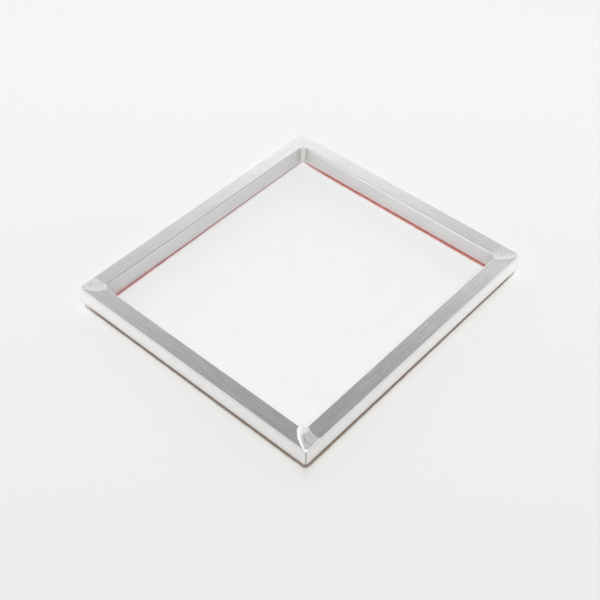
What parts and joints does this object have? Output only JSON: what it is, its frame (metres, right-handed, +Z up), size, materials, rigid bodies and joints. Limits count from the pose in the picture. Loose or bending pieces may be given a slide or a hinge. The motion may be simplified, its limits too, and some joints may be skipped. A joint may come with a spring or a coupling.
{
  "type": "screen printing frame",
  "caption": "Rectangular screen printing frame of mitred, welded aluminium box tube with a white polyester mesh stretched and glued across its underside.",
  "frame": {"origin": "centre of the underside, on the print side where the frame rests", "axes": "+Z up through the frame, away from the mesh; +Y along the long sides towards the back rail that a press clamps; +X along the short sides"},
  "size_m": [0.432, 0.482, 0.0303],
  "materials": {
    "tube_aluminium": "mill finish, fine drawn lines along each tube",
    "weld_aluminium": "weld metal, ground flush with a coarse disc",
    "mesh_glue": "cured red two-part screen adhesive, semi-gloss",
    "polyester_mesh": "white monofilament plain weave, stretched tight"
  },
  "bodies": {
    "root": {"front_rail": "tube_aluminium", "right_rail": "tube_aluminium", "back_rail": "tube_aluminium", "left_rail": "tube_aluminium", "front_left_top_weld": "weld_aluminium", "front_left_under_weld": "weld_aluminium", "front_left_outer_weld": "weld_aluminium", "front_left_inner_weld": "weld_aluminium", "front_right_top_weld": "weld_aluminium", "front_right_under_weld": "weld_aluminium", "front_right_outer_weld": "weld_aluminium", "front_right_inner_weld": "weld_aluminium", "back_right_top_weld": "weld_aluminium", "back_right_under_weld": "weld_aluminium", "back_right_outer_weld": "weld_aluminium", "back_right_inner_weld": "weld_aluminium", "back_left_top_weld": "weld_aluminium", "back_left_under_weld": "weld_aluminium", "back_left_outer_weld": "weld_aluminium", "back_left_inner_weld": "weld_aluminium", "front_glue_bead": "mesh_glue", "right_glue_bead": "mesh_glue", "back_glue_bead": "mesh_glue", "left_glue_bead": "mesh_glue", "front_glue_coat": "mesh_glue", "right_glue_coat": "mesh_glue", "back_glue_coat": "mesh_glue", "left_glue_coat": "mesh_glue", "screen_mesh": "polyester_mesh"}
  },
  "joints": []
}
